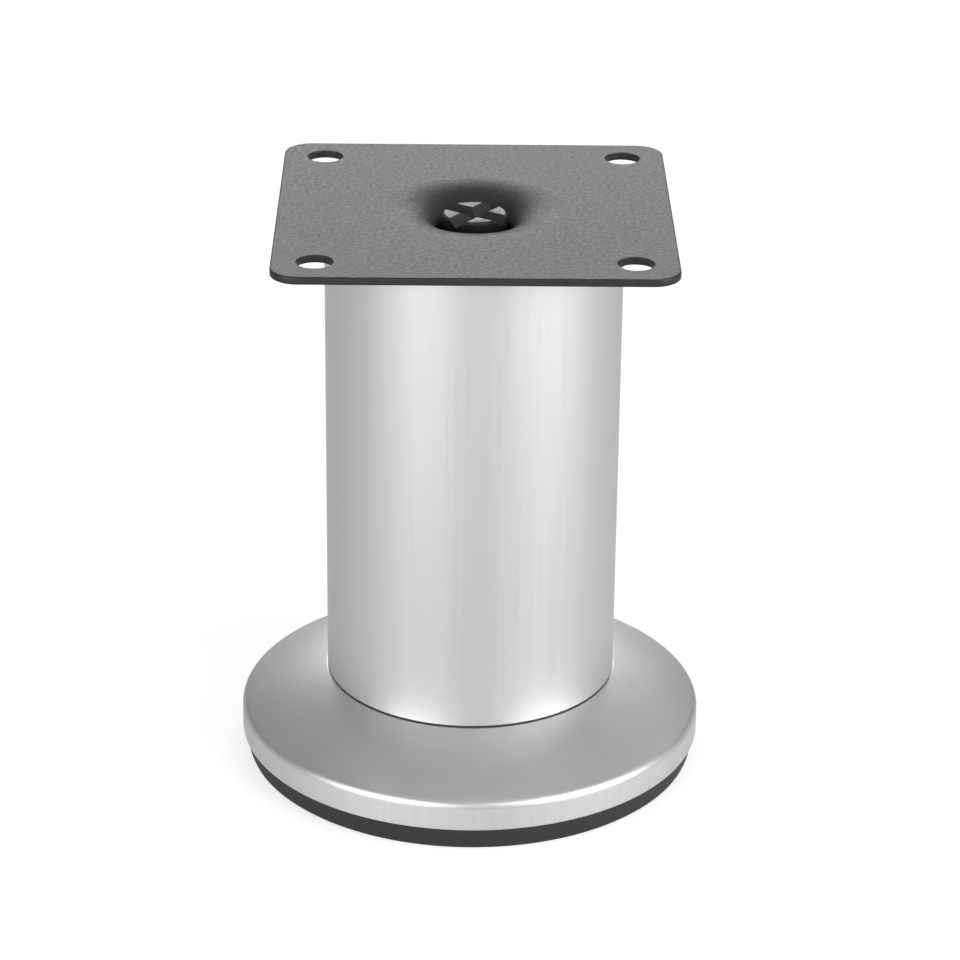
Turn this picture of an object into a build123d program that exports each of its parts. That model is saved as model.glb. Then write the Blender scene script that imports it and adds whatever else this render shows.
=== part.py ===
from build123d import *
from math import atan2, cos, radians, sin, tan
import os

# Round furniture leg with a square screw plate on top and a wide foot that winds down on a spindle.
# Millimetres, +Z up. The origin is the centre of the foot on the floor, with the foot wound right in.

# Overall
leg_height = 120.0  # floor to the top of the mounting plate, foot wound in
travel = 20.0  # how far the foot winds out
axial_gap = 0.1  # air between faces that turn on or part from each other
running_clearance = 0.05  # radial, between a turning piece and its bore
moulding_clearance = 0.1  # radial, between a moulding and the metal around or inside it

# Mounting plate: one steel pressing, drawn down in the middle into an open throat
plate_width = 78.5
plate_thickness = 1.6
plate_corner_radius = 5.5
plate_edge_chamfer = 0.25
screw_hole_spacing = 61.5
screw_hole_diameter = 7.2
throat_clearance = 0.7  # radial, around the spindle's plain end
dish_reach = 11.3  # the dish is a quarter of an ellipse, this wide from the throat to the flat
dish_depth = 5.6  # and this deep, on the upper face
lip_bend = 0.8  # radius of the turned-out lip, on its upper face
lip_reach = 1.6  # flat part of the turned-out lip

# Tube
tube_diameter = 60.0
tube_wall = 1.2
tube_edge_chamfer = 0.2

# Foot cover: one pressing with an upright rim, a domed slope and a flat seat under the tube
cover_diameter = 96.0
cover_sheet = 1.0
cover_rim_bottom = 5.2
cover_rim_height = 5.9  # up to where rim and slope would meet without the shoulder's round
cover_shoulder_radius = 2.2
cover_dome = 0.6  # how far the slope stands out from a straight cone
seat_height = 18.8
seat_overhang = 0.2  # seat edge outside the tube
seat_edge_radius = 1.4
cover_hole_clearance = 0.35  # radial, around the spindle's pin

# Foot base: moulding under the cover
band_inset = 0.5  # top of the black band inside the cover's outer face
band_draft = 10.0  # degrees that the band leans in towards the floor
band_floor_round = 1.6
band_width = 4.0  # wall of the band and of the step inside the cover
base_deck = 2.5
base_rib_count = 8
base_rib_thickness = 1.8
base_rib_lift = 0.6  # ribs and hub stand this far off the floor
base_fin_clearance = 0.3  # between the fins and the cover above them
hub_wall = 2.4  # around the recess in the hub's lower end

# Spindle
shank_diameter = 13.0  # plain upper part
thread_diameter = 13.9
pin_diameter = 9.9
spindle_recess = 0.9  # top of the spindle below the top of the plate
spindle_chamfer = 0.45
slot_width = 4.0
slot_depth = 1.5
slot_angle = 55.0  # direction of the first groove from +X, in degrees
pin_end_height = 3.4  # lower end of the pin above the floor
pin_end_length = 1.2  # pin below its groove
groove_depth = 0.3

# Nut, washers and retaining ring
nut_width = 21.0  # across flats
nut_height = 11.0
nut_air = 0.5  # nut above the thrust washer
thrust_washer_thickness = 1.5
thrust_washer_margin = 0.5  # washer edge inside the nut's flats
backing_washer_width = 4.6
backing_washer_thickness = 1.0
recess_clearance = 0.6  # radial, around the backing washer
ring_thickness = 1.0
ring_width = 2.2
ring_opening = 50.0  # degrees
ring_lug_radius = 1.5
ring_lug_hole = 1.3

# Plugs: mouldings pressed into the two ends of the tube
crush_rib_height = 0.4
crush_rib_width = 1.6
crush_rib_count = 12
plug_wall = 2.2
plug_web = 3.0
plug_spoke_count = 6
plug_spoke_thickness = 1.8
spindle_passage = 0.35  # radial air where the spindle passes the bottom plug
top_plug_length = 16.0
top_boss_height = 10.0
top_boss_wall = 4.8
bottom_plug_length = 24.0
bottom_flange = 0.25  # edge that shows as a thin dark line under the tube
bottom_flange_inset = 0.3  # flange edge inside the tube's outer face
bottom_boss_wall = 3.0
bottom_boss_roof = 5.0

# Straight steps that each round is drawn in, so that the facets stay few
dish_steps = 5
lip_steps = 2
dome_steps = 3
shoulder_steps = 3
seat_edge_steps = 1
floor_round_steps = 3

# Radii worked out from the values above
tube_radius = tube_diameter / 2
tube_bore_radius = tube_radius - tube_wall
crush_radius = tube_bore_radius - running_clearance
plug_radius = crush_radius - crush_rib_height
skirt_radius = plug_radius - plug_wall
shank_radius = shank_diameter / 2
thread_radius = thread_diameter / 2
pin_radius = pin_diameter / 2
passage_radius = thread_radius + spindle_passage
throat_radius = shank_radius + throat_clearance
throat_outer_radius = throat_radius + plate_thickness
dish_radius = throat_radius + dish_reach
lip_back_bend = lip_bend + plate_thickness
lip_bend_radius = throat_outer_radius + lip_bend
cover_radius = cover_diameter / 2
cover_bore_radius = cover_radius - cover_sheet
seat_radius = tube_radius + seat_overhang
step_radius = cover_bore_radius - moulding_clearance
band_radius = cover_radius - band_inset
band_inner_radius = step_radius - band_width
nut_half_width = nut_width / 2
pocket_half_width = nut_half_width + moulding_clearance
thrust_washer_radius = nut_half_width - thrust_washer_margin
backing_washer_radius = pin_radius + moulding_clearance + backing_washer_width
recess_radius = backing_washer_radius + recess_clearance
hub_radius = recess_radius + hub_wall

# Heights worked out from the values above
plate_underside = leg_height - plate_thickness
lip_top = plate_underside - top_boss_height
lip_centre_height = lip_top + lip_bend
plug_bottom = seat_height + axial_gap
tube_bottom = plug_bottom + bottom_flange
cover_rim_top = cover_rim_bottom + cover_rim_height
cover_underside = seat_height - cover_sheet
thrust_washer_top = seat_height + thrust_washer_thickness
shoulder_height = thrust_washer_top + axial_gap / 2
nut_bottom = thrust_washer_top + nut_air
nut_top = nut_bottom + nut_height
thread_top = nut_top + travel
spindle_top = leg_height - spindle_recess
ring_bottom = pin_end_height + pin_end_length
ring_top = ring_bottom + ring_thickness
backing_washer_bottom = ring_top + axial_gap
hub_seat = backing_washer_bottom + backing_washer_thickness
deck_top = cover_rim_bottom + base_deck


def turned(outline):
    """Solid turned about Z from a closed outline of (radius, height) edges."""
    return revolve(Plane.XZ * make_face(outline), Axis.Z)


def arc_points(centre, radius, start, sweep, steps):
    """Points along an arc. A round drawn through them in straight steps has few facets."""
    angles = [radians(start + sweep * step / steps) for step in range(steps + 1)]
    return [(centre[0] + radius * cos(angle), centre[1] + radius * sin(angle)) for angle in angles]


def rounded_corner(before, corner, after, radius, steps):
    """Points of the round that takes the place of the corner between two other points."""
    up = Vector(0, 0, 1)
    to_before = (Vector(*before) - Vector(*corner)).normalized()
    to_after = (Vector(*after) - Vector(*corner)).normalized()
    half_angle = radians(to_before.get_angle(to_after) / 2)
    centre = Vector(*corner) + (to_before + to_after).normalized() * (radius / sin(half_angle))
    reach = radius / tan(half_angle)
    first = Vector(*corner) + to_before * reach - centre
    last = Vector(*corner) + to_after * reach - centre
    start = Vector(1, 0).get_signed_angle(first, up)
    sweep = first.get_signed_angle(last, up)
    return arc_points((centre.X, centre.Y), radius, start, sweep, steps)


def ring(inner_radius, outer_radius, bottom, top):
    """Plain upright ring between two heights."""
    corners = [(inner_radius, bottom), (outer_radius, bottom), (outer_radius, top), (inner_radius, top)]
    return turned(Polyline(*corners, close=True))


def bar(width, start, end, bottom, top):
    """Upright bar along +X from one radius to another."""
    return Pos((start + end) / 2, 0, (bottom + top) / 2) * Box(end - start, width, top - bottom)


def around(count, piece):
    """Copies of one piece, evenly spaced about Z."""
    return [place * piece for place in PolarLocations(0, count)]


def dish_points(depth, gap):
    """Points down the dish, a depth inside its upper face, and with a gap that grows to the throat."""
    points = []
    for step in range(dish_steps + 1):
        turn = radians(90 * step / dish_steps)
        slope = atan2(dish_depth * sin(turn), dish_reach * cos(turn))
        radius = dish_radius - (dish_reach - gap) * sin(turn) + depth * sin(slope)
        height = leg_height - dish_depth * (1 - cos(turn)) - depth * cos(slope)
        points.append((radius, height))
    return points


def throat():
    """The dish and the open throat drawn out of the plate, with the lower lip turned out."""
    lip_centre = (lip_bend_radius, lip_centre_height)
    lip_radius = lip_bend_radius + lip_reach
    outline = dish_points(0, 0)
    outline += arc_points(lip_centre, lip_back_bend, 180, 90, lip_steps)
    outline += [(lip_radius, lip_top - plate_thickness), (lip_radius, lip_top)]
    outline += arc_points(lip_centre, lip_bend, 270, -90, lip_steps)
    outline += reversed(dish_points(plate_thickness, 0))
    return turned(Polyline(*outline, close=True))


def mounting_plate():
    """Square plate with four screw holes, carried down in the middle into the throat."""
    blank = Pos(0, 0, plate_underside) * RectangleRounded(plate_width, plate_width, plate_corner_radius)
    plate = extrude(blank, plate_thickness)
    rims = plate.edges().group_by(Axis.Z)
    plate = chamfer(rims[0] + rims[-1], plate_edge_chamfer)
    drill_length = 4 * plate_thickness
    hole = Pos(0, 0, leg_height) * Cylinder(screw_hole_diameter / 2, drill_length)
    plate -= GridLocations(screw_hole_spacing, screw_hole_spacing, 2, 2) * hole
    plate -= Pos(0, 0, leg_height) * Cylinder(dish_radius, drill_length)
    return plate + throat()


def leg_tube():
    """Drawn tube with its lower outer edge lightly broken."""
    tube = ring(tube_bore_radius, tube_radius, tube_bottom, plate_underside)
    lower_edges = tube.edges().filter_by(GeomType.CIRCLE).group_by(Axis.Z)[0]
    return chamfer(lower_edges.sort_by(SortBy.RADIUS)[-1], tube_edge_chamfer)


def plug_skirt(bottom, top):
    """Skirt of a plug with upright crush ribs that grip the tube."""
    skirt = ring(skirt_radius, plug_radius, bottom, top)
    rib = bar(crush_rib_width, skirt_radius + plug_wall / 2, tube_radius, bottom, top)
    grip = rib & Pos(0, 0, (bottom + top) / 2) * Cylinder(crush_radius, top - bottom)
    return skirt + around(crush_rib_count, grip)


def plug_spokes(boss_radius, bottom, top):
    """Spokes that join a plug's boss to its skirt."""
    spoke = bar(plug_spoke_thickness, boss_radius - plug_wall / 2, skirt_radius + plug_wall / 2, bottom, top)
    return around(plug_spoke_count, spoke)


def top_plug():
    """Plug under the plate. The throat runs through its boss and the turned-out lip holds it there."""
    bore_radius = throat_outer_radius + moulding_clearance
    boss_radius = bore_radius + top_boss_wall
    web_bottom = plate_underside - plug_web
    boss = dish_points(plate_thickness, moulding_clearance)
    boss += [
        (bore_radius, lip_top + lip_bend),
        (bore_radius + lip_bend, lip_top),
        (boss_radius, lip_top),
        (boss_radius, web_bottom),
        (skirt_radius, web_bottom),
        (skirt_radius, plate_underside),
    ]
    plug = plug_skirt(plate_underside - top_plug_length, plate_underside)
    plug += turned(Polyline(*boss, close=True))
    return plug + plug_spokes(boss_radius, lip_top, web_bottom)


def hexagon(half_width, bottom, top):
    """Upright hexagonal block."""
    return extrude(Pos(0, 0, bottom) * RegularPolygon(half_width, 6, major_radius=False), top - bottom)


def bottom_plug():
    """Plug at the foot end. Its thin flange carries the tube and its boss holds the nut."""
    boss_radius = pocket_half_width / cos(radians(30)) + bottom_boss_wall
    boss_top = nut_top + bottom_boss_roof
    flange_radius = tube_radius - bottom_flange_inset
    web_top = tube_bottom + plug_web
    plug = plug_skirt(tube_bottom, tube_bottom + bottom_plug_length)
    plug += ring(passage_radius, flange_radius, plug_bottom, tube_bottom)
    plug += ring(passage_radius, plug_radius, tube_bottom, web_top)
    plug += ring(passage_radius, boss_radius, web_top, boss_top)
    plug += plug_spokes(boss_radius, web_top, boss_top)
    return plug - hexagon(pocket_half_width, seat_height, nut_top)


def spindle_nut():
    """Plain hexagon nut, pushed up against the roof of its pocket."""
    bore = ring(0, thread_radius + running_clearance, nut_bottom, nut_top)
    return hexagon(nut_half_width, nut_bottom, nut_top) - bore


def spindle():
    """Spindle with a plain shank and cross slot on top, a threaded stretch, and a pin for the foot."""
    groove_radius = pin_radius - groove_depth
    profile = Polyline(
        (0, pin_end_height),
        (pin_radius - spindle_chamfer, pin_end_height),
        (pin_radius, pin_end_height + spindle_chamfer),
        (pin_radius, ring_bottom),
        (groove_radius, ring_bottom),
        (groove_radius, ring_top),
        (pin_radius, ring_top),
        (pin_radius, shoulder_height),
        (thread_radius, shoulder_height),
        (thread_radius, thread_top),
        (shank_radius, thread_top),
        (shank_radius, spindle_top - spindle_chamfer),
        (shank_radius - spindle_chamfer, spindle_top),
        (0, spindle_top),
        close=True,
    )
    half_width = slot_width / 2
    vee = Polyline((-half_width, spindle_top), (0, spindle_top - slot_depth), (half_width, spindle_top), close=True)
    groove = extrude(Plane.XZ * make_face(vee), shank_diameter, both=True)
    return turned(profile) - Rot(0, 0, slot_angle) * groove - Rot(0, 0, slot_angle + 90) * groove


def thrust_washer():
    """Washer between the spindle's shoulder and the cover."""
    return ring(pin_radius + moulding_clearance, thrust_washer_radius, seat_height, thrust_washer_top)


def backing_washer():
    """Washer between the hub and the retaining ring."""
    return ring(pin_radius + moulding_clearance, backing_washer_radius, backing_washer_bottom, hub_seat)


def retaining_ring():
    """Open spring ring with two eared ends, seated in the pin's groove."""
    inner_radius = pin_radius - groove_depth
    outer_radius = inner_radius + ring_width
    lug_centre_radius = outer_radius + ring_lug_hole / 4
    half_opening = ring_opening / 2
    reach = 2 * outer_radius
    sector = Polyline(
        (0, 0),
        (reach * cos(radians(half_opening)), -reach * cos(radians(90 - half_opening))),
        (reach * cos(radians(half_opening)), reach * cos(radians(90 - half_opening))),
        close=True,
    )
    sketch = Circle(outer_radius) - Circle(inner_radius) - make_face(sector)
    lug_angle = half_opening + 14
    ends = [Rot(0, 0, side * lug_angle) * Pos(lug_centre_radius, 0) for side in (-1, 1)]
    sketch += [end * Circle(ring_lug_radius) for end in ends]
    sketch -= [end * Circle(ring_lug_hole / 2) for end in ends]
    return extrude(Pos(0, 0, ring_bottom) * sketch, ring_thickness)


def slope_line(depth):
    """Ends of the straight line a given depth below the cover's slope, without its dome."""
    run = cover_radius - seat_radius
    drop = seat_height - cover_rim_top
    length = (run**2 + drop**2) ** 0.5
    inward = depth * drop / length
    down = depth * run / length
    top_end = (seat_radius - inward, seat_height - down)
    low_end = (cover_radius - inward, cover_rim_top - down)
    return top_end, low_end


def cover_solid(inset):
    """Solid inside the cover, taken in by a distance from the cover's outer skin."""
    rim_radius = cover_radius - inset
    top = seat_height - inset
    seat_end, rim_end = slope_line(inset)
    rise = (seat_end[1] - rim_end[1]) / (rim_end[0] - seat_end[0])
    seat_corner = Vector(seat_end[0] + (seat_end[1] - top) / rise, top)
    rim_corner = Vector(rim_radius, seat_corner.Y - rise * (rim_radius - seat_corner.X))
    slope = seat_corner - rim_corner
    outward = Vector(slope.Y, -slope.X).normalized()
    dome = []
    for step in range(1, dome_steps):
        share = step / dome_steps
        point = rim_corner + slope * share + outward * (4 * cover_dome * share * (1 - share))
        dome.append((point.X, point.Y))
    rim_foot = (rim_radius, cover_rim_bottom)
    shoulder_round = cover_shoulder_radius - inset
    seat_round = seat_edge_radius - inset
    outline = [(0, cover_rim_bottom), rim_foot]
    outline += rounded_corner(rim_foot, (rim_corner.X, rim_corner.Y), dome[0], shoulder_round, shoulder_steps)
    outline += dome
    outline += rounded_corner(dome[-1], (seat_corner.X, seat_corner.Y), (0, top), seat_round, seat_edge_steps)
    outline.append((0, top))
    return turned(Polyline(*outline, close=True))


def foot_cover():
    """Pressed cover with a hole for the spindle's pin in its flat seat."""
    hole = ring(0, pin_radius + cover_hole_clearance, cover_rim_bottom, seat_height)
    return cover_solid(0) - cover_solid(cover_sheet) - hole


def foot_base():
    """Moulding that stands on the floor, carries the cover's rim and turns on the pin in its hub."""
    lean = cover_rim_bottom * tan(radians(band_draft))
    band = [(band_inner_radius, cover_rim_bottom), (band_inner_radius, 0)]
    band_top = (band_radius, cover_rim_bottom)
    band += rounded_corner(band[-1], (band_radius - lean, 0), band_top, band_floor_round, floor_round_steps)
    band.append(band_top)
    base = turned(Polyline(*band, close=True))
    base += ring(0, step_radius, cover_rim_bottom, deck_top)
    base += ring(0, hub_radius, base_rib_lift, cover_underside)
    base += ring(tube_bore_radius, tube_radius + base_rib_thickness / 2, base_rib_lift, cover_rim_bottom)
    root = hub_radius - hub_wall / 2
    rib = bar(base_rib_thickness, root, band_inner_radius + band_width / 2, base_rib_lift, cover_rim_bottom)
    base += around(base_rib_count, rib)
    seat_end, rim_end = slope_line(cover_sheet + base_fin_clearance)
    fin_top = seat_height - cover_sheet - base_fin_clearance
    rise = (seat_end[1] - rim_end[1]) / (rim_end[0] - seat_end[0])
    fin_radius = step_radius - band_width / 2
    fin = Polyline(
        (root, cover_rim_bottom),
        (fin_radius, cover_rim_bottom),
        (fin_radius, rim_end[1] + rise * (rim_end[0] - fin_radius)),
        (seat_end[0] - (fin_top - seat_end[1]) / rise, fin_top),
        (root, fin_top),
        close=True,
    )
    blade = extrude(Plane.XZ * make_face(fin), base_rib_thickness / 2, both=True)
    base += around(base_rib_count, blade)
    base -= ring(0, recess_radius, 0, hub_seat)
    return base - ring(0, pin_radius + running_clearance, hub_seat, cover_underside)


pieces = {
    "mounting_plate": mounting_plate,
    "leg_tube": leg_tube,
    "top_plug": top_plug,
    "bottom_plug": bottom_plug,
    "spindle_nut": spindle_nut,
    "spindle": spindle,
    "thrust_washer": thrust_washer,
    "foot_cover": foot_cover,
    "foot_base": foot_base,
    "backing_washer": backing_washer,
    "retaining_ring": retaining_ring,
}

os.makedirs("parts", exist_ok=True)
for name, make in pieces.items():
    export_step(make(), f"parts/{name}.step")
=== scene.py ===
import math

import bmesh
import bpy
from mathutils import Matrix, Vector


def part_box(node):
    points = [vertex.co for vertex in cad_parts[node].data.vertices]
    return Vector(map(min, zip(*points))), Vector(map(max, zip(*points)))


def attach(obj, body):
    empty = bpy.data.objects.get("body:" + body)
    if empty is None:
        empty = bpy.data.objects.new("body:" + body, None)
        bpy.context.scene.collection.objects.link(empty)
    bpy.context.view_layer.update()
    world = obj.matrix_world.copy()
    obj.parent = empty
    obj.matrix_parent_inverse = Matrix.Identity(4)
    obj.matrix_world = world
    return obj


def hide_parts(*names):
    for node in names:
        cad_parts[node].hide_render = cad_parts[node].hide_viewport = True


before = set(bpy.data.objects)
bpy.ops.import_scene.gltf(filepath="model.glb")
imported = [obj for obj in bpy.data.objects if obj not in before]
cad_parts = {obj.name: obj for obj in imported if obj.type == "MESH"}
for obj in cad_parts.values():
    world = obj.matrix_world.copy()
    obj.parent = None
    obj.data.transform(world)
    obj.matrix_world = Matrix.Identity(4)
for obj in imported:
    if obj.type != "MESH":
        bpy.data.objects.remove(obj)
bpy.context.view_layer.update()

# Leg tube
# Drawn aluminium tube, cut square at both ends and satin anodised silver. It is pushed over the two
# plugs, and its lower end stands on the thin flange of the bottom plug.

MM = 0.001
TUBE_WALL = 1.2 * MM
TUBE_EDGE_BREAK = 0.2 * MM
TUBE_EDGE_STEPS = 4
TUBE_STEPS = 192
TUBE_TONES = ((0.75, 0.75, 0.742), (0.78, 0.78, 0.772))
TUBE_ROUGHNESS = (0.44, 0.50)
TUBE_LINE_DEPTH = 0.002 * MM
NOISE_LOW = 0.3
NOISE_HIGH = 0.7
SAME_POINT = 0.0001 * MM
MERGE_REACH = 0.0005 * MM


def nothing_selected():
    """Leave edit mode and clear the selection, so that the next operator acts on its own piece."""
    if bpy.context.object and bpy.context.object.mode == "EDIT":
        bpy.ops.object.mode_set(mode="OBJECT")
    bpy.ops.object.select_all(action="DESELECT")


def pick(piece):
    """Make one piece the only selected one, in object mode."""
    nothing_selected()
    piece.select_set(True)
    bpy.context.view_layer.objects.active = piece


def select_where(piece, kind, wanted):
    """In edit mode, select just the vertices, edges or faces that pass the test."""
    bpy.ops.mesh.select_mode(type={"verts": "VERT", "edges": "EDGE", "faces": "FACE"}[kind])
    bpy.ops.mesh.select_all(action="DESELECT")
    mesh = bmesh.from_edit_mesh(piece.data)
    for part in getattr(mesh, kind):
        if wanted(part):
            part.select_set(True)
    mesh.select_flush_mode()
    bmesh.update_edit_mesh(piece.data)


def arc_points(before, corner, after, radius, steps):
    """Points of the round that takes the place of one corner of a section, both ends included."""
    corner = Vector(corner)
    to_before = (Vector(before) - corner).normalized()
    to_after = (Vector(after) - corner).normalized()
    half_angle = to_before.angle(to_after) / 2
    centre = corner + (to_before + to_after).normalized() * radius / math.sin(half_angle)
    start = corner + to_before * radius / math.tan(half_angle) - centre
    turn = start.angle_signed(corner + to_after * radius / math.tan(half_angle) - centre)
    return [centre + Matrix.Rotation(-turn * step / steps, 2) @ start for step in range(steps + 1)]


def section_points(corners):
    """Turn (radius, height, round, steps) corners into points, with each round drawn as an arc."""
    points = []
    for index, corner in enumerate(corners):
        if corner[2]:
            before = corners[index - 1][:2]
            after = corners[(index + 1) % len(corners)][:2]
            points += arc_points(before, corner[:2], after, corner[2], corner[3])
        else:
            points.append(Vector(corner[:2]))
    return points


def draw_section(name, points, closed):
    """Draw half a section in the XZ plane, vertex by vertex, and stay in edit mode."""
    nothing_selected()
    bpy.ops.mesh.primitive_plane_add(size=MM, location=(0, 0, 0))
    piece = bpy.context.object
    piece.name = name
    bpy.ops.object.mode_set(mode="EDIT")
    bpy.ops.mesh.select_mode(type="VERT")
    bpy.ops.mesh.select_all(action="SELECT")
    bpy.ops.mesh.merge(type="CENTER")
    here = Vector((0, 0))
    for index, point in enumerate(points):
        step = point - here
        move = (step.x, 0, step.y)
        if index:
            bpy.ops.mesh.extrude_region_move(TRANSFORM_OT_translate={"value": move})
        else:
            bpy.ops.mesh.select_all(action="SELECT")
            bpy.ops.transform.translate(value=move)
        here = point
    if closed:
        ends = [Vector((point.x, 0, point.y)) for point in (points[0], points[-1])]
        select_where(piece, "verts", lambda vert: min((vert.co - end).length for end in ends) < SAME_POINT)
        bpy.ops.mesh.edge_face_add()
    return piece


def spin_section(piece, steps):
    """Spin a drawn section once round Z, close the seam and turn all faces outwards."""
    bpy.ops.mesh.select_all(action="SELECT")
    bpy.ops.mesh.spin(steps=steps, angle=2 * math.pi, center=(0, 0, 0), axis=(0, 0, 1))
    bpy.ops.mesh.select_all(action="SELECT")
    bpy.ops.mesh.remove_doubles(threshold=MERGE_REACH)
    bpy.ops.mesh.normals_make_consistent(inside=False)
    bpy.ops.object.mode_set(mode="OBJECT")


def finish_shading(piece, crease):
    """Shade smooth with edges above the crease angle sharp, and keep flat faces flat."""
    pick(piece)
    bpy.ops.object.shade_smooth_by_angle(angle=math.radians(crease))
    weighted = piece.modifiers.new("flat_faces_stay_flat", "WEIGHTED_NORMAL")
    weighted.keep_sharp = True
    bpy.ops.object.modifier_apply(modifier=weighted.name)


def put_on(piece, material, slot, body, *nodes):
    """Give a new piece its finish, its body and the solids that it stands for."""
    piece.data.materials.append(material)
    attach(piece, body)
    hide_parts(*nodes)


def new_finish(name, metallic, roughness):
    """Start a finish: its material, node tree and shader."""
    material = bpy.data.materials.new(name)
    material.use_nodes = True
    shader = material.node_tree.nodes["Principled BSDF"]
    shader.inputs["Metallic"].default_value = metallic
    shader.inputs["Roughness"].default_value = roughness
    return material, material.node_tree, shader


def speckle(tree, per_metre, stretch=(1, 1, 1), detail=2.0):
    """Noise in the piece's own space, so many grains to the metre, stretched along an axis."""
    place = tree.nodes.new("ShaderNodeTexCoord")
    mapping = tree.nodes.new("ShaderNodeMapping")
    mapping.inputs["Scale"].default_value = stretch
    noise = tree.nodes.new("ShaderNodeTexNoise")
    noise.inputs["Scale"].default_value = per_metre
    noise.inputs["Detail"].default_value = detail
    tree.links.new(place.outputs["Object"], mapping.inputs["Vector"])
    tree.links.new(mapping.outputs["Vector"], noise.inputs["Vector"])
    return noise.outputs["Fac"]


def spread(tree, value, low, high):
    """Spread a noise over a range of values."""
    node = tree.nodes.new("ShaderNodeMapRange")
    node.inputs["From Min"].default_value = NOISE_LOW
    node.inputs["From Max"].default_value = NOISE_HIGH
    node.inputs["To Min"].default_value = low
    node.inputs["To Max"].default_value = high
    tree.links.new(value, node.inputs["Value"])
    return node.outputs["Result"]


def tint(tree, value, dark, light):
    """Run from a dark to a light colour with a noise."""
    ramp = tree.nodes.new("ShaderNodeValToRGB")
    ramp.color_ramp.elements[0].position = NOISE_LOW
    ramp.color_ramp.elements[0].color = (*dark, 1)
    ramp.color_ramp.elements[1].position = NOISE_HIGH
    ramp.color_ramp.elements[1].color = (*light, 1)
    tree.links.new(value, ramp.inputs["Fac"])
    return ramp.outputs["Color"]


def raise_by(tree, height, depth, under=None):
    """Raise the surface by a noise, to a depth in metres, over another bump if there is one."""
    node = tree.nodes.new("ShaderNodeBump")
    node.inputs["Strength"].default_value = 1.0
    node.inputs["Distance"].default_value = depth
    tree.links.new(height, node.inputs["Height"])
    if under:
        tree.links.new(under, node.inputs["Normal"])
    return node.outputs["Normal"]


tube_low, tube_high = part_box("leg_tube")
tube_radius = tube_high.x
tube_bore = tube_radius - TUBE_WALL
leg_tube = draw_section(
    "satin_tube",
    section_points(
        [
            (tube_bore, tube_low.z, 0, 0),
            (tube_radius, tube_low.z, TUBE_EDGE_BREAK, TUBE_EDGE_STEPS),
            (tube_radius, tube_high.z, 0, 0),
            (tube_bore, tube_high.z, 0, 0),
        ]
    ),
    closed=True,
)
spin_section(leg_tube, TUBE_STEPS)
finish_shading(leg_tube, crease=50)

satin_tube, tree, shader = new_finish("satin_anodised_tube", metallic=1.0, roughness=0.47)
draw_lines = speckle(tree, 2600, stretch=(1, 1, 0.006), detail=3.0)
cloud = speckle(tree, 90, stretch=(1, 1, 0.1))
tree.links.new(tint(tree, cloud, *TUBE_TONES), shader.inputs["Base Color"])
tree.links.new(spread(tree, draw_lines, *TUBE_ROUGHNESS), shader.inputs["Roughness"])
tree.links.new(raise_by(tree, draw_lines, TUBE_LINE_DEPTH), shader.inputs["Normal"])
put_on(leg_tube, satin_tube, "tube_metal", "leg", "leg_tube")

# Bottom plug and its nut
# Black moulding pressed into the tube's lower end. Its flange shows as a thin dark line under the
# tube. A zinc-plated steel hexagon nut is pushed into its boss from below.

MOULDING_TONES = ((0.023, 0.023, 0.0235), (0.033, 0.033, 0.0335))
MOULDING_GRAIN_HEIGHT = 0.012 * MM
ZINC_TONES = ((0.50, 0.50, 0.49), (0.60, 0.60, 0.59))
ZINC_ROUGHNESS = (0.30, 0.42)
ZINC_MOTTLE_HEIGHT = 0.008 * MM


def refinish(node_name, material, crease):
    """Give a carried-over solid its finish, with its loose triangles welded and its edges kept crisp."""
    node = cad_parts[node_name]
    node.data.materials.clear()
    node.data.materials.append(material)
    for face in node.data.polygons:
        face.use_smooth = True
    weld = node.modifiers.new("weld", "WELD")
    weld.merge_threshold = MERGE_REACH
    edges = node.modifiers.new("crisp_edges", "EDGE_SPLIT")
    edges.split_angle = math.radians(crease)


black_moulding, tree, shader = new_finish("black_moulding", metallic=0.0, roughness=0.48)
grain = speckle(tree, 1800, detail=3.0)
tree.links.new(tint(tree, grain, *MOULDING_TONES), shader.inputs["Base Color"])
tree.links.new(raise_by(tree, grain, MOULDING_GRAIN_HEIGHT), shader.inputs["Normal"])
refinish("bottom_plug", black_moulding, crease=30)

zinc, tree, shader = new_finish("zinc_plated_steel", metallic=1.0, roughness=0.35)
mottle = speckle(tree, 1500, detail=4.0)
tree.links.new(tint(tree, mottle, *ZINC_TONES), shader.inputs["Base Color"])
tree.links.new(spread(tree, mottle, *ZINC_ROUGHNESS), shader.inputs["Roughness"])
tree.links.new(raise_by(tree, mottle, ZINC_MOTTLE_HEIGHT), shader.inputs["Normal"])
refinish("spindle_nut", zinc, crease=25)

# Top plug
# Black moulding pressed into the tube's upper end, flush with it. The plate's throat runs down
# through its boss and is turned out below it, which holds plate and tube together.

refinish("top_plug", black_moulding, crease=30)

# Mounting plate
# Square steel pressing with four punched screw holes. Its middle is drawn down into a dish and an
# open throat, and the whole is powder coated black with a fine structure.

PLATE_SHEET = 1.6 * MM
PLATE_CORNER = 5.5 * MM
PLATE_CORNER_STEPS = 16
PLATE_EDGE_ROUND = 0.35 * MM
HOLE_SPACING = 61.5 * MM
HOLE_RADIUS = 3.6 * MM
HOLE_ROLLOVER = 0.12 * MM
HOLE_SHEAR = 0.75 * MM
HOLE_BREAKOUT = 0.14 * MM
HOLE_STEPS = 72
DISH_REACH = 11.3 * MM
DISH_DEPTH = 5.6 * MM
DISH_CURVE_STEPS = 28
DISH_STEPS = 160
THROAT_RADIUS = 7.2 * MM
THROAT_LEAD = 1.0 * MM
LIP_BEND = 0.8 * MM
LIP_BEND_STEPS = 8
LIP_MOUTH_STEPS = 12
LIP_REACH = 1.6 * MM
COAT_TONES = ((0.014, 0.0135, 0.013), (0.022, 0.0215, 0.021))
COAT_ROUGHNESS = (0.36, 0.48)
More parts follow.
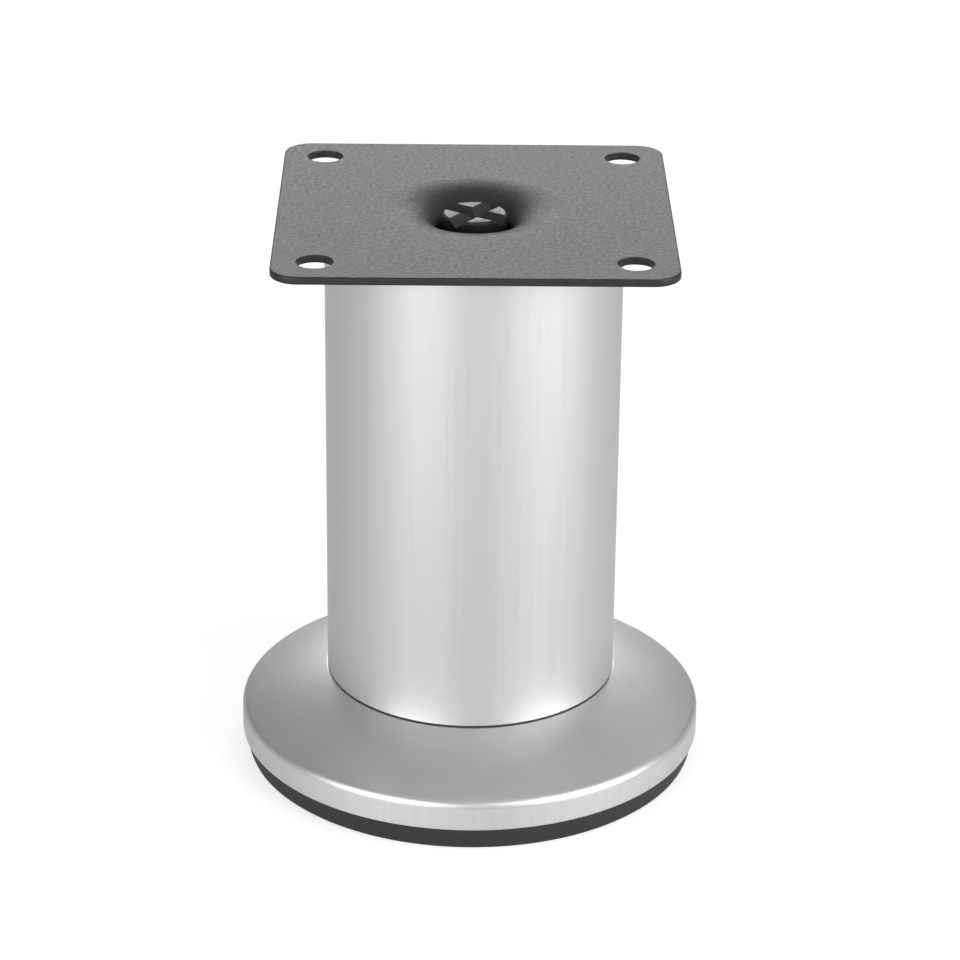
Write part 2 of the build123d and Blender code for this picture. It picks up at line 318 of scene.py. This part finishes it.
COAT_SHEEN = (1.0, 0.985, 0.965, 1)
LUMP_HEIGHT = 0.015 * MM
PIMPLE_HEIGHT = 0.04 * MM
LEVEL_WITHIN = 0.01 * MM
WALL_HEIGHT = 0.05 * MM
AT_HOLE = 0.1 * MM
OFF_HOLE = 1.0 * MM

plate_low, plate_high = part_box("mounting_plate")
plate_top = plate_high.z
plate_under = plate_top - PLATE_SHEET
plate_half = plate_high.x
dish_radius = THROAT_RADIUS + DISH_REACH
throat_top = plate_top - DISH_DEPTH - THROAT_LEAD
throat_back = THROAT_RADIUS + PLATE_SHEET
lip_bottom = plate_low.z
lip_top = lip_bottom + PLATE_SHEET
lip_radius = throat_back + LIP_BEND + LIP_REACH

nothing_selected()
bpy.ops.mesh.primitive_plane_add(size=2 * plate_half, location=(0, 0, plate_top))
plate = bpy.context.object
plate.name = "pressed_plate"
bpy.ops.object.transform_apply(location=True)
bpy.ops.object.mode_set(mode="EDIT")
bpy.ops.mesh.select_mode(type="VERT")
bpy.ops.mesh.select_all(action="SELECT")
bpy.ops.mesh.bevel(offset=PLATE_CORNER, segments=PLATE_CORNER_STEPS, affect="VERTICES")
bpy.ops.mesh.select_all(action="SELECT")
bpy.ops.mesh.delete(type="ONLY_FACE")
hole_centres = [
    Vector((x * HOLE_SPACING / 2, y * HOLE_SPACING / 2, 0)) for x in (-1, 1) for y in (-1, 1)
]
for centre in hole_centres:
    at_top = centre + Vector((0, 0, plate_top))
    bpy.ops.mesh.primitive_circle_add(vertices=HOLE_STEPS, radius=HOLE_RADIUS, location=at_top)
bpy.ops.mesh.primitive_circle_add(vertices=DISH_STEPS, radius=dish_radius, location=(0, 0, plate_top))
bpy.ops.mesh.select_all(action="SELECT")
bpy.ops.mesh.fill()
bpy.ops.mesh.select_all(action="SELECT")
bpy.ops.mesh.dissolve_limited(angle_limit=math.radians(1))
bpy.ops.mesh.select_all(action="SELECT")
for drop in (HOLE_SHEAR, PLATE_SHEET - HOLE_SHEAR):
    bpy.ops.mesh.extrude_region_move(TRANSFORM_OT_translate={"value": (0, 0, -drop)})
bpy.ops.mesh.select_all(action="SELECT")
bpy.ops.mesh.normals_make_consistent(inside=False)


def off_axis(vert):
    """Distance of a vertex from the Z axis."""
    return math.hypot(vert.co.x, vert.co.y)


def off_centre(vert, centre):
    """Distance of a vertex from one hole's centre line."""
    return (Vector((vert.co.x, vert.co.y, 0)) - centre).length


def from_hole(vert):
    """Distance of a vertex from the nearest hole's centre line."""
    return min(off_centre(vert, centre) for centre in hole_centres)


def is_wall(face):
    """Whether a face of the plate stands upright."""
    heights = [vert.co.z for vert in face.verts]
    return max(heights) - min(heights) > WALL_HEIGHT


def is_rim(edge, height):
    """Whether an edge joins the plate's face at a height to an upright wall."""
    level = all(abs(vert.co.z - height) < LEVEL_WITHIN for vert in edge.verts)
    return level and sum(is_wall(face) for face in edge.link_faces) == 1 and len(edge.link_faces) == 2


# the dish's own wall takes the place of the straight cut
select_where(
    plate,
    "faces",
    lambda face: is_wall(face) and all(off_axis(vert) < dish_radius + OFF_HOLE for vert in face.verts),
)
bpy.ops.mesh.delete(type="FACE")

# the punched holes break out wider at the back
grow = (HOLE_RADIUS + HOLE_BREAKOUT) / HOLE_RADIUS
for centre in hole_centres:
    select_where(
        plate,
        "verts",
        lambda vert: abs(vert.co.z - plate_under) < LEVEL_WITHIN
        and off_centre(vert, centre) < HOLE_RADIUS + AT_HOLE,
    )
    bpy.ops.transform.resize(value=(grow, grow, 1), center_override=centre + Vector((0, 0, plate_under)))

# the plate's own edges are rounded by the coat, and the punch rolled the holes' upper edges over
select_where(
    plate,
    "edges",
    lambda edge: (is_rim(edge, plate_top) or is_rim(edge, plate_under))
    and all(from_hole(vert) > HOLE_RADIUS + OFF_HOLE for vert in edge.verts),
)
bpy.ops.mesh.bevel(offset=PLATE_EDGE_ROUND, segments=5, affect="EDGES")
select_where(
    plate,
    "edges",
    lambda edge: is_rim(edge, plate_top)
    and all(from_hole(vert) < HOLE_RADIUS + AT_HOLE for vert in edge.verts),
)
bpy.ops.mesh.bevel(offset=HOLE_ROLLOVER, segments=3, affect="EDGES")
bpy.ops.object.mode_set(mode="OBJECT")


def down_the_dish(depth):
    """Points down the dish, a quarter of an ellipse, at a depth inside its upper face."""
    points = []
    for step in range(DISH_CURVE_STEPS + 1):
        turn = math.radians(90 * step / DISH_CURVE_STEPS)
        lean = math.atan2(DISH_DEPTH * math.sin(turn), DISH_REACH * math.cos(turn))
        radius = dish_radius - DISH_REACH * math.sin(turn) + depth * math.sin(lean)
        height = plate_top - DISH_DEPTH * (1 - math.cos(turn)) - depth * math.cos(lean)
        points.append(Vector((radius, height)))
    return points


lip = section_points(
    [
        (THROAT_RADIUS, throat_top, 0, 0),
        (THROAT_RADIUS, lip_bottom, LIP_BEND + PLATE_SHEET, LIP_MOUTH_STEPS),
        (lip_radius, lip_bottom, 0, 0),
        (lip_radius, lip_top, 0, 0),
        (throat_back, lip_top, LIP_BEND, LIP_BEND_STEPS),
        (throat_back, throat_top, 0, 0),
    ]
)
throat_line = down_the_dish(0) + lip + down_the_dish(PLATE_SHEET)[::-1]
throat = draw_section("throat", throat_line, closed=False)
spin_section(throat, DISH_STEPS)
pick(throat)
plate.select_set(True)
bpy.context.view_layer.objects.active = plate
bpy.ops.object.join()
bpy.ops.object.mode_set(mode="EDIT")
bpy.ops.mesh.select_all(action="SELECT")
bpy.ops.mesh.remove_doubles(threshold=0.002 * MM)
bpy.ops.mesh.normals_make_consistent(inside=False)
bpy.ops.object.mode_set(mode="OBJECT")
finish_shading(plate, crease=35)

powder_coat, tree, shader = new_finish("structured_powder_coat", metallic=0.0, roughness=0.45)
shader.inputs["Specular Tint"].default_value = COAT_SHEEN
pimples = speckle(tree, 3000, detail=1.0)
lumps = speckle(tree, 1200, detail=2.0)
tree.links.new(tint(tree, pimples, *COAT_TONES), shader.inputs["Base Color"])
tree.links.new(spread(tree, lumps, *COAT_ROUGHNESS), shader.inputs["Roughness"])
soft = raise_by(tree, lumps, LUMP_HEIGHT)
tree.links.new(raise_by(tree, pimples, PIMPLE_HEIGHT, soft), shader.inputs["Normal"])
put_on(plate, powder_coat, "plate_coat", "leg", "mounting_plate")

# Foot base
# Black moulding that stands on the floor. The cover's rim sits on the shoulder of its outer band,
# and its hub turns on the spindle's pin.

refinish("foot_base", black_moulding, crease=30)

# Foot cover
# Pressed from one sheet: an upright rim, a round shoulder, a slightly domed slope and a flat seat
# for the tube. Satin silver like the tube, with fine draw lines down the rim.

COVER_SHEET = 1.0 * MM
RIM_HEIGHT = 5.9 * MM
RIM_EDGE_ROUND = 0.18 * MM
SHOULDER_RADIUS = 2.2 * MM
SHOULDER_STEPS = 14
SLOPE_DOME = 0.6 * MM
SLOPE_STEPS = 20
SEAT_OVERHANG = 0.2 * MM
SEAT_EDGE_RADIUS = 1.4 * MM
SEAT_EDGE_STEPS = 6
PIN_HOLE_RADIUS = 5.3 * MM
COVER_STEPS = 256
HALVINGS = 40
COVER_TONES = ((0.715, 0.72, 0.725), (0.735, 0.74, 0.745))
COVER_ROUGHNESS = (0.40, 0.44)
# painted reflection: the rim's paler tones stand in for the bright floor that the rim mirrors
RIM_PAINTED_PALE_TONES = ((0.82, 0.82, 0.815), (0.86, 0.86, 0.855))
RIM_ROUGHNESS = (0.45, 0.51)
COVER_GRAIN_HEIGHT = 0.001 * MM
UPRIGHT_WITHIN = 0.3
OUTER_SKIN = 0.5 * MM

cover_low, cover_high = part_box("foot_cover")
cover_radius = cover_high.x
seat = cover_high.z
rim_corner = Vector((cover_radius, cover_low.z + RIM_HEIGHT))
seat_corner = Vector((tube_radius + SEAT_OVERHANG, seat))
slope = seat_corner - rim_corner
slope_middle = (seat_corner + rim_corner) / 2
outward = Vector((slope.y, -slope.x)).normalized()
dome_radius = (slope.length**2 / 4 + SLOPE_DOME**2) / (2 * SLOPE_DOME)
dome_centre = slope_middle - outward * (dome_radius - SLOPE_DOME)
dome_turn = 2 * math.asin(slope.length / 2 / dome_radius)


def on_dome(share):
    """A point on the slope's dome, from the rim at 0 to the seat at 1."""
    turn = (share - 0.5) * dome_turn
    return dome_centre + Matrix.Rotation(turn, 2) @ (outward * dome_radius)


def rounded_into_dome(corner, straight, radius, from_rim, steps):
    """The round between a straight side of the cover and its dome, as points from side to dome."""
    share = 0.0 if from_rim else 1.0
    step = 0.5
    centre_distance = dome_radius - radius
    for _ in range(HALVINGS):
        towards = share + (step if from_rim else -step)
        direction = (on_dome(towards) - dome_centre).normalized()
        centre = dome_centre + direction * centre_distance
        gap = abs((centre - corner).dot(straight.orthogonal().normalized())) - radius
        if gap < 0:
            share = towards
        step /= 2
    direction = (on_dome(share) - dome_centre).normalized()
    centre = dome_centre + direction * centre_distance
    start = corner + straight * (centre - corner).dot(straight) - centre
    turn = start.angle_signed(direction)
    points = [centre + Matrix.Rotation(-turn * i / steps, 2) @ start for i in range(steps + 1)]
    return points, share


shoulder, shoulder_share = rounded_into_dome(
    rim_corner, Vector((0, -1)), SHOULDER_RADIUS, from_rim=True, steps=SHOULDER_STEPS
)
seat_edge, seat_share = rounded_into_dome(
    seat_corner, Vector((-1, 0)), SEAT_EDGE_RADIUS, from_rim=False, steps=SEAT_EDGE_STEPS
)
dome = [
    on_dome(shoulder_share + (seat_share - shoulder_share) * i / SLOPE_STEPS)
    for i in range(1, SLOPE_STEPS)
]
outer_line = [Vector((cover_radius, cover_low.z))] + shoulder + dome + seat_edge[::-1]
cover = draw_section("pressed_cover", outer_line + [Vector((PIN_HOLE_RADIUS, seat))], closed=False)
spin_section(cover, COVER_STEPS)
pick(cover)
sheet = cover.modifiers.new("sheet", "SOLIDIFY")
sheet.thickness = COVER_SHEET
sheet.offset = -1
sheet.use_even_offset = True
bpy.ops.object.modifier_apply(modifier=sheet.name)
bpy.ops.object.mode_set(mode="EDIT")
select_where(
    cover,
    "edges",
    lambda edge: all(
        abs(vert.co.z - cover_low.z) < LEVEL_WITHIN and off_axis(vert) > cover_radius - LEVEL_WITHIN
        for vert in edge.verts
    ),
)
bpy.ops.mesh.bevel(offset=RIM_EDGE_ROUND, segments=3, affect="EDGES")
bpy.ops.object.mode_set(mode="OBJECT")
finish_shading(cover, crease=40)

satin_cover, tree, shader = new_finish("satin_pressed_cover", metallic=1.0, roughness=0.42)
satin_grain = speckle(tree, 3000)
cloud = speckle(tree, 120)
tree.links.new(tint(tree, cloud, *COVER_TONES), shader.inputs["Base Color"])
tree.links.new(spread(tree, satin_grain, *COVER_ROUGHNESS), shader.inputs["Roughness"])
tree.links.new(raise_by(tree, satin_grain, COVER_GRAIN_HEIGHT), shader.inputs["Normal"])
put_on(cover, satin_cover, "cover_metal", "foot", "foot_cover")

# the upright rim carries die lines and is duller than the slope; its paler colour is painted reflection,
# standing in for the bright floor that it mirrors
rim_with_painted_reflection, tree, shader = new_finish("satin_rim_with_painted_reflection", metallic=1.0, roughness=0.48)
die_lines = speckle(tree, 1300, stretch=(1, 1, 0.015), detail=3.0)
tree.links.new(tint(tree, die_lines, *RIM_PAINTED_PALE_TONES), shader.inputs["Base Color"])
tree.links.new(spread(tree, die_lines, *RIM_ROUGHNESS), shader.inputs["Roughness"])
tree.links.new(raise_by(tree, die_lines, COVER_GRAIN_HEIGHT), shader.inputs["Normal"])
cover.data.materials.append(rim_with_painted_reflection)
rim_top = cover_low.z + RIM_HEIGHT - SHOULDER_RADIUS / 2
for face in cover.data.polygons:
    upright = abs(face.normal.z) < UPRIGHT_WITHIN
    outside = math.hypot(face.center.x, face.center.y) > cover_radius - OUTER_SKIN
    if upright and outside and face.center.z < rim_top:
        face.material_index = 1

# Thrust washer
# Zinc-plated steel washer between the spindle's shoulder and the cover, where the leg's load goes
# down into the foot.

refinish("thrust_washer", zinc, crease=30)

# Spindle
# Turned steel with an M14 thread, a plain shank with a cross slot of two V grooves on its end, and
# a pin that carries the foot. It is dropped in through the plate and screwed down through the nut.

PIN_RADIUS = 4.95 * MM
RING_GROOVE = (4.6 * MM, 5.6 * MM)
RING_GROOVE_DEPTH = 0.3 * MM
SHOULDER_HEIGHT = 20.35 * MM
THREAD_TOP = 51.8 * MM
THREAD_CREST = 6.92 * MM
THREAD_ROOT = 5.85 * MM
THREAD_PITCH = 2.0 * MM
THREAD_ROOT_SHARE = 0.25
THREAD_FLANK_SHARE = 0.3125
THREAD_CREST_SHARE = 0.125
THREAD_STEPS = 72
SPARE_TURNS = 2
COLLAR = 0.5 * MM
SHANK_RADIUS = 6.5 * MM
SPINDLE_CHAMFER = 0.45 * MM
SPINDLE_STEPS = 96
SLOT_WIDTH = 4.0 * MM
SLOT_DEPTH = 1.5 * MM
SLOT_ANGLE = 55
SLOT_OVERRUN = 0.5 * MM
LAND_EDGE = 0.09 * MM
STEEL_TONES = ((0.012, 0.012, 0.012), (0.022, 0.022, 0.0215))
STEEL_ROUGHNESS = (0.27, 0.39)
TURNED_RING_HEIGHT = 0.004 * MM
OIL_HEIGHT = 0.010 * MM

spindle_low, spindle_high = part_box("spindle")
pin_end = spindle_low.z
spindle_top = spindle_high.z
core_radius = (PIN_RADIUS + THREAD_ROOT) / 2
core = [
    (0, pin_end),
    (PIN_RADIUS - SPINDLE_CHAMFER, pin_end),
    (PIN_RADIUS, pin_end + SPINDLE_CHAMFER),
    (PIN_RADIUS, RING_GROOVE[0]),
    (PIN_RADIUS - RING_GROOVE_DEPTH, RING_GROOVE[0]),
    (PIN_RADIUS - RING_GROOVE_DEPTH, RING_GROOVE[1]),
    (PIN_RADIUS, RING_GROOVE[1]),
    (PIN_RADIUS, SHOULDER_HEIGHT + COLLAR),
    (core_radius, SHOULDER_HEIGHT + COLLAR),
    (core_radius, THREAD_TOP - COLLAR),
    (SHANK_RADIUS, THREAD_TOP - COLLAR),
    (SHANK_RADIUS, spindle_top - SPINDLE_CHAMFER),
    (SHANK_RADIUS - SPINDLE_CHAMFER, spindle_top),
    (0, spindle_top),
]
spindle = draw_section("screw_spindle", [Vector(corner) for corner in core], closed=False)
spin_section(spindle, SPINDLE_STEPS)

# the thread is drawn a little longer at both ends, and then cut to length
turns = round((THREAD_TOP - SHOULDER_HEIGHT) / THREAD_PITCH) + 2 * SPARE_TURNS
thread_start = SHOULDER_HEIGHT - SPARE_TURNS * THREAD_PITCH
crest_start = THREAD_ROOT_SHARE + THREAD_FLANK_SHARE
one_pitch = [
    (THREAD_ROOT, thread_start),
    (THREAD_ROOT, thread_start + THREAD_ROOT_SHARE * THREAD_PITCH),
    (THREAD_CREST, thread_start + crest_start * THREAD_PITCH),
    (THREAD_CREST, thread_start + (crest_start + THREAD_CREST_SHARE) * THREAD_PITCH),
    (THREAD_ROOT, thread_start + THREAD_PITCH),
]
thread = draw_section("thread", [Vector(corner) for corner in one_pitch], closed=False)
bpy.ops.object.mode_set(mode="OBJECT")
screw = thread.modifiers.new("helix", "SCREW")
screw.screw_offset = THREAD_PITCH
screw.iterations = turns
screw.steps = THREAD_STEPS
screw.render_steps = THREAD_STEPS
bpy.ops.object.modifier_apply(modifier=screw.name)
bpy.ops.object.mode_set(mode="EDIT")
bpy.ops.mesh.select_mode(type="VERT")
bpy.ops.mesh.select_all(action="SELECT")
bpy.ops.mesh.remove_doubles(threshold=MERGE_REACH)
for height, up in ((SHOULDER_HEIGHT, False), (THREAD_TOP, True)):
    bpy.ops.mesh.select_all(action="SELECT")
    bpy.ops.mesh.bisect(
        plane_co=(0, 0, height), plane_no=(0, 0, 1), use_fill=True, clear_inner=not up, clear_outer=up
    )
bpy.ops.mesh.select_all(action="SELECT")
bpy.ops.mesh.normals_make_consistent(inside=False)
bpy.ops.object.mode_set(mode="OBJECT")


def carve(piece, tool, how):
    """Join a tool shape to a piece, or cut it out of the piece, and throw the tool away."""
    pick(piece)
    step = piece.modifiers.new("carve", "BOOLEAN")
    step.operation = how
    step.solver = "EXACT"
    step.object = tool
    bpy.ops.object.modifier_apply(modifier=step.name)
    pick(tool)
    bpy.ops.object.delete()


carve(spindle, thread, "UNION")
vee_half = SLOT_WIDTH / 2 * (SLOT_DEPTH + SLOT_OVERRUN) / SLOT_DEPTH
vee = [
    Vector((-vee_half, spindle_top + SLOT_OVERRUN)),
    Vector((vee_half, spindle_top + SLOT_OVERRUN)),
    Vector((0, spindle_top - SLOT_DEPTH)),
]
for angle in (SLOT_ANGLE, SLOT_ANGLE + 90):
    groove = draw_section("groove", vee, closed=True)
    bpy.ops.mesh.select_all(action="SELECT")
    bpy.ops.mesh.edge_face_add()
    bpy.ops.mesh.select_all(action="SELECT")
    bpy.ops.transform.translate(value=(0, -2 * SHANK_RADIUS, 0))
    bpy.ops.mesh.extrude_region_move(TRANSFORM_OT_translate={"value": (0, 4 * SHANK_RADIUS, 0)})
    bpy.ops.mesh.select_all(action="SELECT")
    bpy.ops.mesh.normals_make_consistent(inside=False)
    bpy.ops.object.mode_set(mode="OBJECT")
    groove.rotation_euler.z = math.radians(angle)
    bpy.ops.object.transform_apply(rotation=True)
    carve(spindle, groove, "DIFFERENCE")
pick(spindle)
bpy.ops.object.mode_set(mode="EDIT")
select_where(
    spindle, "edges", lambda edge: all(abs(vert.co.z - spindle_top) < LEVEL_WITHIN for vert in edge.verts)
)
bpy.ops.mesh.bevel(offset=LAND_EDGE, segments=2, affect="EDGES")
bpy.ops.object.mode_set(mode="OBJECT")
finish_shading(spindle, crease=30)

oiled_black, tree, shader = new_finish("blackened_oiled_steel", metallic=0.0, roughness=0.33)
oil = speckle(tree, 1600, detail=3.0)
rings = speckle(tree, 2200, stretch=(0.05, 0.05, 1), detail=2.0)
tree.links.new(tint(tree, oil, *STEEL_TONES), shader.inputs["Base Color"])
tree.links.new(spread(tree, oil, *STEEL_ROUGHNESS), shader.inputs["Roughness"])
fine_rings = raise_by(tree, rings, TURNED_RING_HEIGHT)
tree.links.new(raise_by(tree, oil, OIL_HEIGHT, fine_rings), shader.inputs["Normal"])
put_on(spindle, oiled_black, "black_steel", "spindle", "spindle")

# Backing washer and retaining ring
# The foot hangs on the pin by a zinc-plated washer and a spring ring with two eyes, seated in the
# pin's groove from below. The ring is blackened and oiled like the spindle.

refinish("backing_washer", zinc, crease=30)
refinish("retaining_ring", oiled_black, crease=30)

# Floor, room and lamps
# The leg stands on a wide pale floor in a dim room, and both look white to the camera. Two large
# soft lamps stand low in front, a long one hangs above the camera and a wide one overhead, with weak
# fills on both sides. A panel and a strip behind light the back and skim the plate.

FLOOR_SIZE = 40.0
FLOOR_PAINT = (0.62, 0.62, 0.62, 1)
FLOOR_GLOW = 0.68
FAR_FLOOR_GLOW = 1.0
NEAR_FLOOR = 0.8
FAR_FLOOR = 1.25
FLOOR_IN_METAL = 0.2
ROOM_LIGHT = 0.15
ROOM_IN_METAL = 0.1
LAMPS_AIM = 60 * MM

nothing_selected()
bpy.ops.mesh.primitive_grid_add(x_subdivisions=4, y_subdivisions=4, size=FLOOR_SIZE, location=(0, 0, 0))
floor = bpy.context.object
floor.name = "floor"

# the foot always stands on the floor, so the floor goes down with it when it is wound out
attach(floor, "foot")


def white_share(tree, in_metal):
    """How much of a white backdrop a ray sees: all of it by the camera, a share in metal and glass."""
    rays = tree.nodes.new("ShaderNodeLightPath")
    shares = {"Is Camera Ray": 1, "Is Glossy Ray": in_metal, "Is Transmission Ray": in_metal}
    total = None
    for name, share in shares.items():
        part = tree.nodes.new("ShaderNodeMath")
        part.operation = "MULTIPLY_ADD"
        tree.links.new(rays.outputs[name], part.inputs[0])
        part.inputs[1].default_value = share
        part.inputs[2].default_value = 0
        if total:
            tree.links.new(total, part.inputs[2])
        total = part.outputs["Value"]
    return total


floor_paint = bpy.data.materials.new("pale_floor")
floor_paint.use_nodes = True
tree = floor_paint.node_tree
tree.nodes.clear()
paint = tree.nodes.new("ShaderNodeBsdfDiffuse")
paint.inputs["Color"].default_value = FLOOR_PAINT
glow = tree.nodes.new("ShaderNodeEmission")
blend = tree.nodes.new("ShaderNodeAddShader")
output = tree.nodes.new("ShaderNodeOutputMaterial")
tree.links.new(white_share(tree, FLOOR_IN_METAL), glow.inputs["Strength"])

# the floor beyond the lamps gets no light from them, so it is made paler there
place = tree.nodes.new("ShaderNodeTexCoord")
away = tree.nodes.new("ShaderNodeVectorMath")
away.operation = "LENGTH"
paler = tree.nodes.new("ShaderNodeMapRange")
paler.inputs["From Min"].default_value = NEAR_FLOOR
paler.inputs["From Max"].default_value = FAR_FLOOR
paler.inputs["To Min"].default_value = FLOOR_GLOW
paler.inputs["To Max"].default_value = FAR_FLOOR_GLOW
tree.links.new(place.outputs["Object"], away.inputs[0])
tree.links.new(away.outputs["Value"], paler.inputs["Value"])
tree.links.new(paler.outputs["Result"], glow.inputs["Color"])
tree.links.new(paint.outputs["BSDF"], blend.inputs[0])
tree.links.new(glow.outputs["Emission"], blend.inputs[1])
tree.links.new(blend.outputs["Shader"], output.inputs["Surface"])
floor.data.materials.append(floor_paint)

world = bpy.data.worlds.new("grey_room")
bpy.context.scene.world = world
world.use_nodes = True
tree = world.node_tree
tree.nodes.clear()
room = tree.nodes.new("ShaderNodeBackground")
room.inputs["Color"].default_value = (1, 1, 1, 1)
room.inputs["Strength"].default_value = ROOM_LIGHT
white = tree.nodes.new("ShaderNodeBackground")
white.inputs["Color"].default_value = (1, 1, 1, 1)
shown = tree.nodes.new("ShaderNodeMixShader")
output = tree.nodes.new("ShaderNodeOutputWorld")
tree.links.new(white_share(tree, ROOM_IN_METAL), shown.inputs["Fac"])
tree.links.new(room.outputs["Background"], shown.inputs[1])
tree.links.new(white.outputs["Background"], shown.inputs[2])
tree.links.new(shown.outputs["Shader"], output.inputs["Surface"])


def soft_lamp(name, azimuth, elevation, distance, size, brightness):
    """A soft box at a compass angle and a height round the leg, turned towards the leg's middle."""
    light = bpy.data.lights.new(name, "AREA")
    light.shape = "RECTANGLE"
    light.size, light.size_y = size
    light.energy = math.pi * size[0] * size[1] * brightness
    lamp = bpy.data.objects.new(name, light)
    bpy.context.scene.collection.objects.link(lamp)
    level = distance * math.cos(math.radians(elevation))
    middle = Vector((0, 0, LAMPS_AIM))
    lamp.location = middle + Vector(
        (
            level * math.cos(math.radians(azimuth)),
            level * math.sin(math.radians(azimuth)),
            distance * math.sin(math.radians(elevation)),
        )
    )
    lamp.rotation_euler = (middle - lamp.location).to_track_quat("-Z", "Y").to_euler()
    lamp.visible_camera = False


# name, compass angle, angle up, distance, size, brightness
soft_lamp("left_soft_box", 231, 12, 1.35, (1.1, 0.56), 5.6)
soft_lamp("right_soft_box", 327.5, 12, 1.35, (1.15, 0.56), 5.8)
soft_lamp("front_bank", 310, 30, 1.4, (1.4, 0.42), 2.0)
soft_lamp("right_fill", 33, 35, 1.5, (1.5, 0.9), 0.3)
soft_lamp("left_fill", 150, 35, 1.5, (1.3, 0.9), 0.07)
soft_lamp("ceiling_panel", 270, 89, 1.5, (1.5, 1.5), 0.4)
soft_lamp("back_panel", 90, 20, 1.7, (1.6, 0.7), 0.46)
soft_lamp("back_strip", 90, 23, 1.6, (0.8, 0.34), 4.2)

# Camera
# A long lens stands in front of the leg, a little above it, and looks down at 24 degrees with a
# slight roll.

CAMERA_PLACE = Vector((-5.43, -655.88, 356.9)) * MM
CAMERA_AIM = Vector((1.645, -0.02, 60.554)) * MM
CAMERA_ROLL = 0.625
CAMERA_LENS = 130.95
CAMERA_SENSOR = 36
CAMERA_REACH = 100

lens = bpy.data.cameras.new("camera")
lens.lens = CAMERA_LENS
lens.sensor_width = CAMERA_SENSOR
lens.clip_end = CAMERA_REACH
camera = bpy.data.objects.new("camera", lens)
bpy.context.scene.collection.objects.link(camera)
camera.location = CAMERA_PLACE
look = (CAMERA_AIM - CAMERA_PLACE).to_track_quat("-Z", "Y").to_matrix().to_4x4()
camera.rotation_euler = (look @ Matrix.Rotation(math.radians(CAMERA_ROLL), 4, "Z")).to_euler()
bpy.context.scene.camera = camera
bpy.context.scene.view_settings.view_transform = "Standard"
